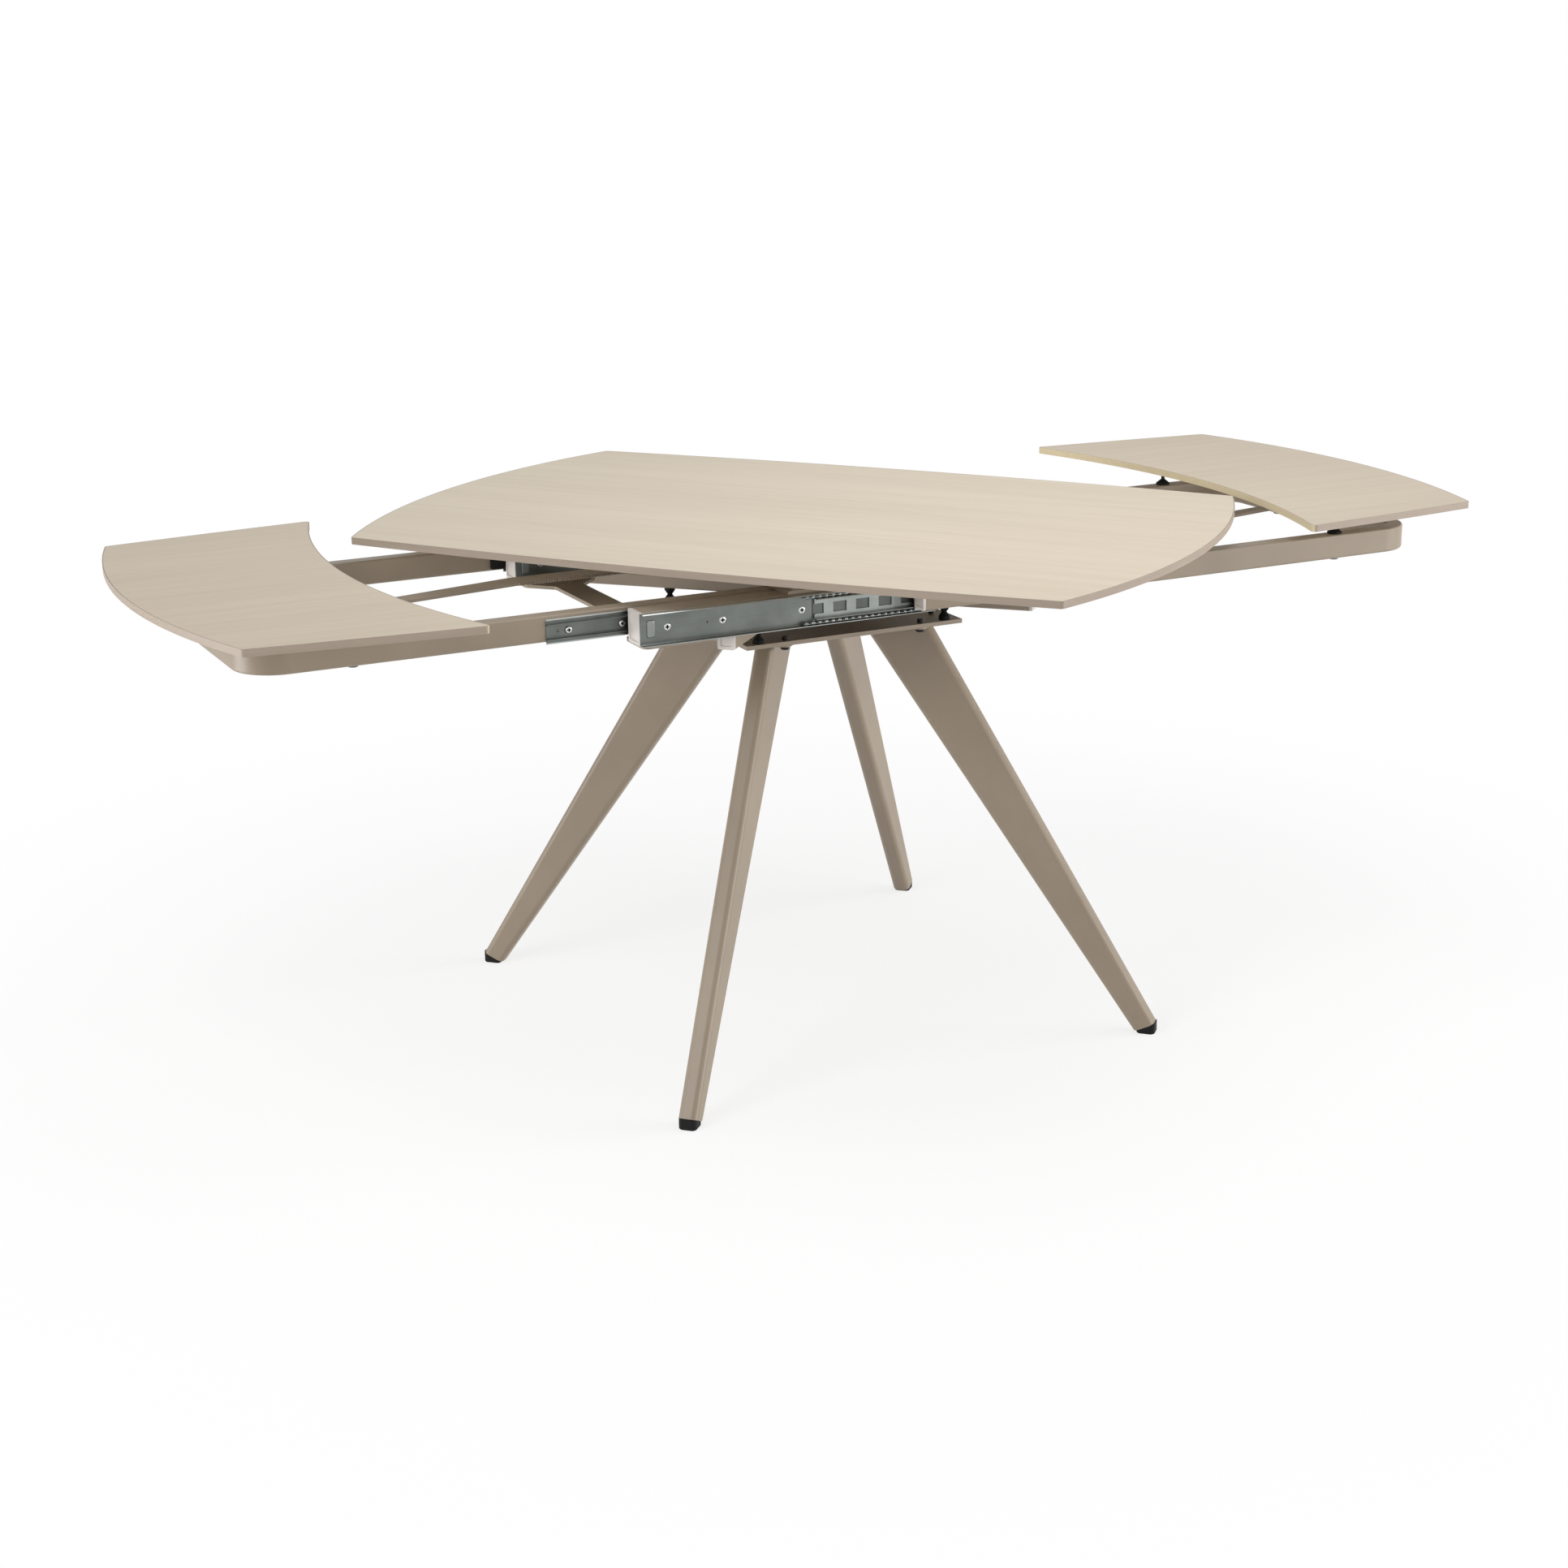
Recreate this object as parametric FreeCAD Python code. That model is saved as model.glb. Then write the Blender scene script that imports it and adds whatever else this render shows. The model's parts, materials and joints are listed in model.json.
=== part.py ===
"""Extending table: a barrel shaped top turns on a swivel, two leaves ride out on sliding frames.

Millimetres, +Z up, origin on the floor under the swivel. The frames slide along X, the left
half of everything that slides is the right half turned by 180 degrees about Z.
"""
import FreeCAD, Part
import math
import os

vec = FreeCAD.Vector
ORIGIN = vec(0, 0, 0)
UP = vec(0, 0, 1)

# Boards
top_length = 1200.0
top_width = 800.0
board_thickness = 10.0
end_arc_radius = 1105.0
side_arc_radius = 6800.0
corner_radius = 6.0
edge_band = 1.5
top_angle = -51.6
leaf_depth = 300.0
leaf_overrun = 95.0
leaf_clearance = 0.8

# Legs and base plate
plate_level = 605.0
plate_length = 346.0
plate_width = 324.0
plate_thickness = 6.0
leg_angle = 45.0
leg_thickness = 28.0
leg_wall = 2.0
leg_edge_radius = 9.0
leg_top_inner = 88.0
leg_top_outer = 191.0
leg_foot_inner = 507.0
leg_foot_outer = 537.0
leg_foot_inner_level = 3.0
leg_foot_outer_level = 17.0
flange_thickness = 3.0
flange_reach = 193.0
flange_margin = 9.0
leg_bolt_spacing = 60.0
bolt_radius = 4.0
bolt_head_radius = 6.3
bolt_head_height = 4.8
bolt_end = 5.0
button_rounding = 0.45
hole_clearance = 0.25
glide_width = 26.0
glide_corner = 7.0
glide_sole_round = 2.5
glide_inset = 4.0
glide_overhang = 1.5
glide_plug_length = 24.0
plug_clearance = 0.2

# Cross of tubes on spacers
standoff_height = 22.0
standoff_radius = 8.0
standoff_waist = 3.5
standoff_flange = 4.5
standoff_reach = 212.0
cross_tube_width = 25.0
cross_tube_height = 20.0
cross_tube_reach = 345.0
tube_wall = 2.0
tube_corner = 2.5
cap_flange = 4.0
cap_plug = 14.0
cap_rim = 4.5
cap_recess = 1.0

# Beams and tie plates
beam_width = 38.0
beam_height = 46.0
beam_spread = 227.5
tie_thickness = 5.0
tie_inset = 62.0
tie_cross_gap = 1.2
tie_width = 43.0
tie_end_width = 112.0
tie_flare_start = 77.0
tie_flare_end = 41.0
tie_corner = 9.0
tie_screw_radius = 3.0
tie_screw_head = 6.0
tie_screw_head_height = 3.5
tie_screw_spacing = 56.0

# Ball slides, three members each
slide_length = 446.0
slide_travel = 412.0
middle_travel = 260.0
slide_thickness = 12.7
slide_height = 45.5
slide_sheet = 1.2
slide_arm_gap = 0.5
slide_lip = 2.0
middle_lip = 2.6
slide_bend = 2.5
outer_ball_radius = 2.8
ball_radius = 1.8
ball_play = 0.15
ball_setback = 2.3
cage_sheet = 0.8
cage_gap = 0.3
cage_rim = 0.7
cage_nose = 18.0
cage_ball_pitch = 12.0
cage_balls_each_end = 1
outer_cage_length = 206.0
inner_cage_length = 220.0
inner_cage_lead = 32.0
runner_height = 34.0
runner_sheet = 1.2
runner_play = 0.9
outer_runner_length = 332.0
bumper_length = 20.0
bumper_plug = 12.0
window_first = 29.0
window_length = 20.5
window_height = 14.0
window_pitch = 35.5
stop_tab_length = 10.5
stop_tab_height = 23.0
stop_tab_rise = 1.1
stop_tab_inset = 15.6
slide_screw_radius = 2.4
slide_screw_head = 4.2
slide_screw_head_height = 1.0
slide_screw_length = 7.0
channel_screw_places = (40.0, 122.0, 242.0)
runner_screw_places = (32.0, 110.0, 280.0)
channel_eyelet_place = 98.4
runner_eyelet_place = 16.3
eyelet_radius = 1.7

# Sliding frames
arm_thickness = 25.0
arm_height = 36.0
arm_top_gap = 1.0
frame_reach = 898.0
frame_bend = 60.0
frame_wall = 2.0
frame_corner = 3.0
support_base_radius = 11.0
support_base_height = 2.5
support_cone_height = 6.5
support_stem_radius = 2.8
support_pad_radius = 9.0
support_pad_height = 3.0
support_arm_reach = 750.0
support_bar_spread = 193.0
support_bolt_radius = 3.0
support_bolt_head = 7.0
support_bolt_head_height = 3.2

# Rack and pinion that make both leaves move alike
rack_module = 1.25
pinion_teeth = 96
pressure_angle = 20.0
tooth_addendum = 1.0
tooth_dedendum = 1.5
tooth_backlash = 0.4
rack_back = 38.0
rack_foot_width = 20.0
rack_foot_shift = 2.0
rack_thickness = 4.0
rack_drop = 13.0
rack_tip = 17.0
rack_teeth = 112
pinion_thickness = 7.0
guide_length = 30.0
guide_start = 36.0
guide_wall = 3.0
guide_clearance = 0.4

# Swivel and hub
carrier_thickness = 5.0
carrier_length = 300.0
carrier_screw_inset = 20.0
carrier_screw_radius = 3.0
carrier_screw_head = 6.0
carrier_screw_head_height = 4.0
carrier_screw_length = 12.0
ring_height = 8.0
ring_inner_radius = 120.0
ring_outer_radius = 160.0
ring_gap = 3.0
ring_ball_radius = 4.0
ring_ball_count = 8
ring_ball_play = 0.15
ring_cage_thickness = 1.8
ring_cage_margin = 8.0
hub_thickness = 18.0
hub_radius = 180.0
post_radius = 8.0
post_head_radius = 14.0
post_head_height = 6.0
post_collar_radius = 14.0
post_collar_height = 6.0
post_tail = 31.0
running_clearance = 0.1
counterbore_clearance = 1.5
head_clearance = 0.3
post_nut_radius = 12.0
post_nut_height = 7.0

# Levels worked up from the floor
plate_bottom = plate_level - plate_thickness
leg_top = plate_bottom - flange_thickness
cross_bottom = plate_level + standoff_height
beam_bottom = cross_bottom + cross_tube_height
beam_top = beam_bottom + beam_height
slide_level = beam_bottom + beam_height / 2
carrier_top = beam_top + carrier_thickness
lower_ring_top = carrier_top + ring_height
upper_ring_bottom = lower_ring_top + ring_gap
hub_bottom = upper_ring_bottom + ring_height
top_bottom = hub_bottom + hub_thickness
top_level = top_bottom + board_thickness
leaf_level = top_bottom - leaf_clearance
leaf_bottom = leaf_level - board_thickness
arm_top = beam_top - arm_top_gap
arm_bottom = arm_top - arm_height
rack_top = beam_top - rack_drop
rack_bottom = rack_top - rack_thickness

# Places worked out across the table
leg_bolt_radius_out = flange_reach - flange_margin
flange_width = leg_bolt_spacing + 2 * flange_margin
cross_tip = (cross_tube_reach * math.cos(math.radians(leg_angle))
             + cross_tube_width / 2 * math.sin(math.radians(leg_angle)))
tie_position = cross_tip + tie_cross_gap + tie_end_width / 2
beam_half_length = tie_position + tie_inset
arm_shift = beam_width / 2 + slide_thickness + arm_thickness / 2
near_arm = -(beam_spread + arm_shift)
far_arm = beam_spread - arm_shift
frame_half = beam_spread + arm_thickness / 2
arm_end = slide_travel - beam_half_length
channel_start = -beam_half_length
middle_start = channel_start + middle_travel
runner_start = channel_start + slide_travel
outer_cage_start = channel_start + slide_length - outer_cage_length
inner_cage_start = runner_start + inner_cage_lead
pinion_radius = rack_module * pinion_teeth / 2

# Depths inside a slide, counted from the beam's face towards the arm
channel_front = slide_thickness - slide_arm_gap
outer_cage_back = slide_sheet + cage_gap
middle_back = outer_cage_back + cage_sheet + cage_gap
inner_cage_back = middle_back + slide_sheet + cage_gap
runner_back = inner_cage_back + cage_sheet + cage_gap
runner_web = slide_thickness - runner_sheet
middle_front = runner_web - runner_play
ball_depth = runner_back + ball_setback

# Half heights inside a slide
channel_half = slide_height / 2
outer_ball_half = channel_half - slide_sheet - ball_play - outer_ball_radius
middle_half = outer_ball_half - outer_ball_radius - ball_play
inner_ball_half = middle_half - slide_sheet - ball_play - ball_radius
runner_half = inner_ball_half - ball_radius - ball_play


def box(x0, x1, y0, y1, z0, z1):
    return Part.makeBox(x1 - x0, y1 - y0, z1 - z0, vec(x0, y0, z0))


def post(radius, z0, z1, x=0.0, y=0.0):
    return Part.makeCylinder(radius, z1 - z0, vec(x, y, z0), UP)


def face_of(points):
    return Part.Face(Part.makePolygon(points + points[:1]))


def turned(shape, degrees):
    copy = shape.copy()
    copy.rotate(ORIGIN, UP, degrees)
    return copy


def moved(shape, x, y, z):
    copy = shape.copy()
    copy.translate(vec(x, y, z))
    return copy


def other_side(shape):
    return turned(shape, 180.0)


def save(name, shape):
    shape.exportStep("parts/" + name + ".step")


def arc_through(start, middle, end):
    return Part.Arc(start, middle, end).toShape()


def line(start, end):
    return Part.LineSegment(start, end).toShape()


def rounded_rectangle(a0, a1, b0, b1, radius, place):
    """Face between a0, a1 and b0, b1, with place turning each pair into a point."""
    k = radius * (1 - math.sqrt(0.5))
    edges = [
        line(place(a0 + radius, b0), place(a1 - radius, b0)),
        arc_through(place(a1 - radius, b0), place(a1 - k, b0 + k), place(a1, b0 + radius)),
        line(place(a1, b0 + radius), place(a1, b1 - radius)),
        arc_through(place(a1, b1 - radius), place(a1 - k, b1 - k), place(a1 - radius, b1)),
        line(place(a1 - radius, b1), place(a0 + radius, b1)),
        arc_through(place(a0 + radius, b1), place(a0 + k, b1 - k), place(a0, b1 - radius)),
        line(place(a0, b1 - radius), place(a0, b0 + radius)),
        arc_through(place(a0, b0 + radius), place(a0 + k, b0 + k), place(a0 + radius, b0)),
    ]
    return Part.Face(Part.Wire(edges))


def tube_along_x(x0, x1, width, height, wall, corner):
    """Open rectangular tube, centred on the X axis in Y with its underside at Z 0."""
    def outside(y, z):
        return vec(x0, y, z)
    skin = rounded_rectangle(-width / 2, width / 2, 0, height, corner, outside)
    core = rounded_rectangle(wall - width / 2, width / 2 - wall, wall, height - wall,
                             corner / 2, outside)
    return skin.cut(core).extrude(vec(x1 - x0, 0, 0))


def tube_cap(width, height, wall, corner):
    """Plug for a tube that starts at X 0: a flange outside on the -X side and a hollow plug."""
    def at_flange(y, z):
        return vec(-cap_flange, y, z)
    flange = rounded_rectangle(-width / 2, width / 2, 0, height, corner, at_flange)
    recess = rounded_rectangle(cap_rim - width / 2, width / 2 - cap_rim, cap_rim, height - cap_rim,
                               corner / 2, at_flange)
    inset = wall + plug_clearance
    plug = tube_along_x(0, cap_plug, width - 2 * inset, height - 2 * inset, wall, corner / 2)
    cap = flange.extrude(vec(cap_flange, 0, 0)).fuse(moved(plug, 0, 0, inset))
    return cap.cut(recess.extrude(vec(cap_recess, 0, 0)))


# Legs


def leg_outline(inset, extra):
    """Leg's blade in the radial plane, inset from its two long sides, longer by extra each end."""
    inner_top = vec(leg_top_inner, 0, leg_top)
    outer_top = vec(leg_top_outer, 0, leg_top)
    outer_foot = vec(leg_foot_outer, 0, leg_foot_outer_level)
    inner_foot = vec(leg_foot_inner, 0, leg_foot_inner_level)
    sides = []
    for high, low, way in ((inner_top, inner_foot, 1), (outer_top, outer_foot, -1)):
        along = (low - high).normalize()
        across = vec(-along.z, 0, along.x) * way
        shift = across * inset
        sides.append((high + shift - along * extra, low + shift + along * extra))
    return [sides[0][0], sides[1][0], sides[1][1], sides[0][1]]


def blade(inset, extra, thickness, edge_radius):
    outline = face_of(leg_outline(inset, extra))
    outline.translate(vec(0, -thickness / 2, 0))
    solid = outline.extrude(vec(0, thickness, 0))
    long_edges = [e for e in solid.Edges if e.BoundBox.ZLength > leg_top / 2]
    return solid.makeFillet(edge_radius, long_edges)


def leg_bolt_places():
    return [(leg_bolt_radius_out, side * leg_bolt_spacing / 2) for side in (-1, 1)]


def make_leg():
    tube = blade(0.0, 0.0, leg_thickness, leg_edge_radius)
    cavity = blade(leg_wall, leg_wall, leg_thickness - 2 * leg_wall, leg_edge_radius - leg_wall)
    flange = box(leg_top_inner, flange_reach, -flange_width / 2, flange_width / 2,
                 leg_top, plate_bottom)
    upright = [e for e in flange.Edges if e.BoundBox.ZLength > flange_thickness / 2]
    leg = tube.cut(cavity).fuse(flange.makeFillet(flange_margin, upright))
    for x, y in leg_bolt_places():
        leg = leg.cut(post(bolt_radius + hole_clearance, leg_top - 1, plate_bottom + 1, x, y))
    return leg


def foot_line():
    """Inner and outer end of the slanted cut across the leg's foot."""
    inner = vec(leg_foot_inner, 0, leg_foot_inner_level)
    outer = vec(leg_foot_outer, 0, leg_foot_outer_level)
    return inner, outer


def make_glide():
    """Wedge under the slanted foot, with a plug that goes up inside the leg."""
    inner, outer = foot_line()
    along = (outer - inner).normalize()
    start = inner + along * glide_inset
    end = outer + along * glide_overhang
    wedge = face_of([vec(start.x, 0, 0), vec(end.x, 0, 0), end, start])
    wedge.translate(vec(0, -glide_width / 2, 0))
    wedge = wedge.extrude(vec(0, glide_width, 0))
    upright = [e for e in wedge.Edges if e.BoundBox.XLength < 1e-6 and e.BoundBox.YLength < 1e-6]
    wedge = wedge.makeFillet(glide_corner, upright)
    sole = [e for e in wedge.Edges if e.BoundBox.ZMax < 1e-6]
    wedge = wedge.makeFillet(glide_sole_round, sole)
    inset = leg_wall + plug_clearance
    plug = blade(inset, 0.0, leg_thickness - 2 * inset, leg_edge_radius - inset)
    up = vec(-along.z, 0, along.x)
    reach = 2 * leg_foot_outer
    keep = Part.makePlane(reach, reach, inner - along * leg_foot_outer - vec(0, leg_foot_outer, 0), up)
    plug = plug.common(keep.extrude(up * glide_plug_length))
    return wedge.fuse(plug)


def button_head(radius, height, seat, x, y):
    """Head under a seat, with its lower rim rounded."""
    head = post(radius, seat - height, seat, x, y)
    rim = [e for e in head.Edges if e.BoundBox.ZMax < seat - height / 2]
    return head.makeFillet(button_rounding * height, rim)


def make_leg_bolts():
    """Head under the leg's flange, and a shank threaded through the plate."""
    solids = []
    for k in range(4):
        for x, y in leg_bolt_places():
            head = button_head(bolt_head_radius, bolt_head_height, leg_top, x, y)
            shank = post(bolt_radius, leg_top, plate_level + bolt_end, x, y)
            solids.append(turned(head.fuse(shank), leg_angle + 90 * k))
    return Part.makeCompound(solids)


def six_sided(radius, height):
    corners = [vec(radius * math.cos(a), radius * math.sin(a), 0)
               for a in (math.pi / 3 * k for k in range(6))]
    return face_of(corners).extrude(vec(0, 0, height))


# Base plate, spacers and the cross of tubes


def make_base_plate():
    plate = box(-plate_length / 2, plate_length / 2, -plate_width / 2, plate_width / 2,
                plate_bottom, plate_level)
    holes = [turned(post(bolt_radius, plate_bottom - 1, plate_level + 1, x, y), leg_angle + 90 * k)
             for k in range(4) for x, y in leg_bolt_places()]
    return plate.cut(holes)


def make_standoffs():
    """Spacers drawn in at the waist."""
    r, w, f, h = standoff_radius, standoff_waist, standoff_flange, standoff_height
    outline = [vec(0, 0, 0), vec(r, 0, 0), vec(r, 0, f), vec(w, 0, h / 2), vec(r, 0, h - f),
               vec(r, 0, h), vec(0, 0, h)]
    spacer = face_of(outline).revolve(ORIGIN, UP, 360)
    spacer = moved(spacer, standoff_reach, 0, plate_level)
    return Part.makeCompound([turned(spacer, leg_angle + 90 * k) for k in range(4)])


def cross_tube(start, end, degrees):
    tube = tube_along_x(start, end, cross_tube_width, cross_tube_height, tube_wall, tube_corner)
    return turned(moved(tube, 0, 0, cross_bottom), degrees)


def make_cross_caps():
    cap = tube_cap(cross_tube_width, cross_tube_height, tube_wall, tube_corner)
    cap = moved(cap, cap_flange - cross_tube_reach, 0, cross_bottom)
    return Part.makeCompound([turned(cap, leg_angle + 90 * k) for k in range(4)])


# Beams and tie plates


def screw_rows(places, start):
    return [start + place for place in places]


def slide_screw_hole(x, y, way, length):
    return Part.makeCylinder(slide_screw_radius + hole_clearance, length,
                             vec(x, y, slide_level), vec(0, way, 0))


def make_near_beam():
    beam = tube_along_x(cap_flange - beam_half_length, beam_half_length - cap_flange,
                        beam_width, beam_height, tube_wall, tube_corner)
    beam = moved(beam, 0, -beam_spread, beam_bottom)
    reach = tube_wall + 2
    front = -beam_spread - beam_width / 2 - 1
    back = -beam_spread + beam_width / 2 + 1
    holes = [slide_screw_hole(x, front, 1, reach) for x in screw_rows(channel_screw_places, channel_start)]
    holes += [slide_screw_hole(-x, back, -1, reach)
              for x in screw_rows(channel_screw_places, channel_start)]
    for x in tie_screw_rows():
        holes.append(post(tie_screw_radius + hole_clearance, beam_bottom - 1,
                          beam_bottom + tube_wall + 1, x, -beam_spread))
    for side in (-1, 1):
        x = side * (carrier_length / 2 - carrier_screw_inset)
        holes.append(post(carrier_screw_radius + hole_clearance, beam_top - tube_wall - 1,
                          beam_top + 1, x, -beam_spread))
    return beam.cut(holes)


def make_beam_caps():
    cap = tube_cap(beam_width, beam_height, tube_wall, tube_corner)
    cap = moved(cap, cap_flange - beam_half_length, -beam_spread, beam_bottom)
    across = moved(cap, 0, 2 * beam_spread, 0)
    return Part.makeCompound([cap, across, other_side(cap), other_side(across)])


def tie_screw_rows():
    half = tie_screw_spacing / 2
    return [side * tie_position + step for side in (-1, 1) for step in (-half, half)]


def make_tie_plate():
    """Flat bar across the two beams' undersides, flared towards both ends."""
    half = tie_width / 2
    wide = tie_end_width / 2
    corners = [(half, beam_spread - tie_flare_start), (wide, beam_spread - tie_flare_end),
               (wide, beam_spread + beam_width / 2)]
    outline = corners + [(-x, y) for x, y in reversed(corners)]
    outline += [(-x, -y) for x, y in corners] + [(x, -y) for x, y in reversed(corners)]
    plate = face_of([vec(tie_position + x, y, beam_bottom - tie_thickness) for x, y in outline])
    plate = plate.extrude(vec(0, 0, tie_thickness))
    upright = [e for e in plate.Edges if e.BoundBox.ZLength > tie_thickness / 2]
    plate = plate.makeFillet(tie_corner, upright)
    holes = [post(tie_screw_radius + hole_clearance, beam_bottom - tie_thickness - 1,
                  beam_bottom + 1, x, side * beam_spread)
             for x in tie_screw_rows() if x > 0 for side in (-1, 1)]
    return plate.cut(holes)


def make_tie_screws():
    solids = []
    for x in tie_screw_rows():
        for side in (-1, 1):
            y = side * beam_spread
            low = beam_bottom - tie_thickness
            head = post(tie_screw_head, low - tie_screw_head_height, low, x, y)
            shank = post(tie_screw_radius, low, beam_bottom + tube_wall, x, y)
            solids.append(head.fuse(shank))
    return Part.makeCompound(solids)


# Ball slides, made on the near beam's front face for the right frame's near arm


def slide_section(x):
    """Turns a depth from the beam's face and a height from the slide's middle into a point."""
    face = -beam_spread - beam_width / 2

    def place(depth, height):
        return vec(x, face - depth, slide_level + height)
    return place


def folded_channel(x, length, back, front, half, sheet, lip, bend):
    """Sheet channel: a web at the back, two sides and two lips turned in at the front."""
    place = slide_section(x)
    skin = rounded_rectangle(back, front, -half, half, bend, place)
    core = rounded_rectangle(back + sheet, front - sheet, sheet - half, half - sheet,
                             bend / 2, place)
    mouth_half = half - lip
    mouth = face_of([place(front - 2 * sheet, -mouth_half), place(front + 1, -mouth_half),
                     place(front + 1, mouth_half), place(front - 2 * sheet, mouth_half)])
    return skin.cut(core).cut(mouth).extrude(vec(length, 0, 0))


def slide_block(x, length, back, front, low, high):
    place = slide_section(x)
    corners = [place(back, low), place(front, low), place(front, high), place(back, high)]
    return face_of(corners).extrude(vec(length, 0, 0))


def make_channel():
    """Outer member, screwed to the beam, with a raised stop at its closed end."""
    channel = folded_channel(channel_start, slide_length, 0.0, channel_front, channel_half,
                             slide_sheet, slide_lip, slide_bend)
    tab = slide_block(channel_start + stop_tab_inset - stop_tab_length / 2, stop_tab_length,
                      slide_sheet, slide_sheet + stop_tab_rise,
                      -stop_tab_height / 2, stop_tab_height / 2)
    face = -beam_spread - beam_width / 2
    holes = [Part.makeCylinder(slide_screw_head + hole_clearance, slide_sheet + 2,
                               vec(x, face + 1, slide_level), vec(0, -1, 0))
             for x in screw_rows(channel_screw_places, channel_start)]
    holes.append(Part.makeCylinder(eyelet_radius, slide_sheet + 2,
                                   vec(channel_start + channel_eyelet_place, face + 1, slide_level),
                                   vec(0, -1, 0)))
    return channel.fuse(tab).cut(holes)


def make_middle():
    """Middle member, with windows along its web and an open bay at its inner end."""
    middle = folded_channel(middle_start, slide_length, middle_back, middle_front, middle_half,
                            slide_sheet, middle_lip, slide_bend)
    first = middle_start + window_first - window_pitch
    count = int((slide_length - window_first - window_length) / window_pitch) + 2
    windows = [slide_block(first + k * window_pitch, window_length, middle_back - 1,
                           middle_back + slide_sheet + 1, -window_height / 2, window_height / 2)
               for k in range(count)]
    return middle.cut(windows)


def runner_screw_rows(length):
    return [runner_start + length - place for place in runner_screw_places]


def make_runner(length):
    """Inner member, screwed to the arm: a web with two sides turned towards the beam."""
    place = slide_section(runner_start)
    web = runner_height / 2
    inside = runner_half - runner_sheet
    outline = face_of([
        place(slide_thickness, -web), place(slide_thickness, web),
        place(runner_web, web), place(runner_web, runner_half),
        place(runner_back, runner_half), place(runner_back, inside),
        place(runner_web, inside), place(runner_web, -inside),
        place(runner_back, -inside), place(runner_back, -runner_half),
        place(runner_web, -runner_half), place(runner_web, -web),
    ])
    runner = outline.extrude(vec(length, 0, 0))
    front = -beam_spread - beam_width / 2 - slide_thickness
    holes = [slide_screw_hole(x, front - 1, 1, runner_sheet + 2) for x in runner_screw_rows(length)]
    holes.append(Part.makeCylinder(eyelet_radius, runner_sheet + 2,
                                   vec(runner_start + length - runner_eyelet_place, front - 1, slide_level),
                                   vec(0, 1, 0)))
    return runner.cut(holes)


def make_bumper():
    """Block on the outer end of the shorter runner, with a plug that goes into it."""
    half = runner_half - runner_sheet - plug_clearance
    end = runner_start + outer_runner_length
    plug = slide_block(end - bumper_plug, bumper_plug, runner_back, runner_web, -half, half)
    block = slide_block(end, bumper_length, runner_back, slide_thickness, -runner_half, runner_half)
    return block.fuse(plug)


def make_cage(start, length, back, radius, ball_half):
    """Strip folded to a U that holds a few balls near each end, with the balls."""
    cage_front = ball_depth + radius + ball_play + cage_rim
    low = ball_half - cage_sheet / 2
    high = ball_half + cage_sheet / 2
    place = slide_section(start)
    inside = back + cage_sheet
    strip = face_of([
        place(back, -high), place(cage_front, -high), place(cage_front, -low),
        place(inside, -low), place(inside, low), place(cage_front, low),
        place(cage_front, high), place(back, high),
    ]).extrude(vec(length, 0, 0))
    solids = []
    pockets = [slide_block(x, cage_nose, back - 1, inside, -low, low)
               for x in (start, start + length - cage_nose)]
    for k in range(cage_balls_each_end):
        step = cage_ball_pitch * (k + 0.5)
        for x in (start + step, start + length - step):
            for side in (-1, 1):
                centre = slide_section(x)(ball_depth, side * ball_half)
                solids.append(Part.makeSphere(radius, centre))
                pockets.append(Part.makeCylinder(radius + ball_play, 4 * cage_sheet,
                                                 centre - UP * 2 * cage_sheet, UP))
    return Part.makeCompound([strip.cut(pockets)] + solids)


def on_far_beam(shape):
    """Right frame's second slide: the front slide moved to the far beam's inner face."""
    return moved(shape, 0, 2 * beam_spread, 0)


def pair(near, far=None):
    """Both slides of the right frame, the far one like the near one if it isn't given."""
    return Part.makeCompound(near.Solids + on_far_beam(near if far is None else far).Solids)


def make_channel_screws():
    face = -beam_spread - beam_width / 2
    solids = []
    for x in screw_rows(channel_screw_places, channel_start):
        head = Part.makeCylinder(slide_screw_head, slide_screw_head_height,
                                 vec(x, face, slide_level), vec(0, -1, 0))
        shank = Part.makeCylinder(slide_screw_radius, slide_screw_length,
                                  vec(x, face, slide_level), vec(0, 1, 0))
        solids.append(head.fuse(shank))
    right = pair(Part.makeCompound(solids))
    return Part.makeCompound(right.Solids + other_side(right).Solids)


def make_runner_screws(length):
    web = -beam_spread - beam_width / 2 - runner_web
    solids = []
    for x in runner_screw_rows(length):
        head = Part.makeCylinder(slide_screw_head, slide_screw_head_height,
                                 vec(x, web, slide_level), vec(0, 1, 0))
        shank = Part.makeCylinder(slide_screw_radius, slide_screw_length,
                                  vec(x, web, slide_level), vec(0, -1, 0))
        solids.append(head.fuse(shank))
    return Part.makeCompound(solids)


# Sliding frames, made for the right leaf


def u_face(half, reach, bend, thickness, end, level):
    """U in plan, open towards -X, about the right frame's own middle line."""
    middle = (near_arm + far_arm) / 2
    k = 1 - math.sqrt(0.5)
    inner_bend = bend - thickness

    def path(half_width, tip, radius):
        low, high = middle - half_width, middle + half_width
        return [
            vec(end, low, level), vec(tip - radius, low, level),
            vec(tip - k * radius, low + k * radius, level), vec(tip, low + radius, level),
            vec(tip, high - radius, level), vec(tip - k * radius, high - k * radius, level),
            vec(tip - radius, high, level), vec(end, high, level),
        ]

    def edges(points):
        return [line(points[0], points[1]), arc_through(*points[1:4]), line(points[3], points[4]),
                arc_through(*points[4:7]), line(points[6], points[7])]
    outside = path(half, reach, bend)
    inside = path(half - thickness, reach - thickness, inner_bend)
    loop = edges(outside) + [line(outside[-1], inside[-1])]
    loop += edges(inside) + [line(inside[0], outside[0])]
    return Part.Face(Part.Wire(Part.__sortEdges__(loop)))


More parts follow.
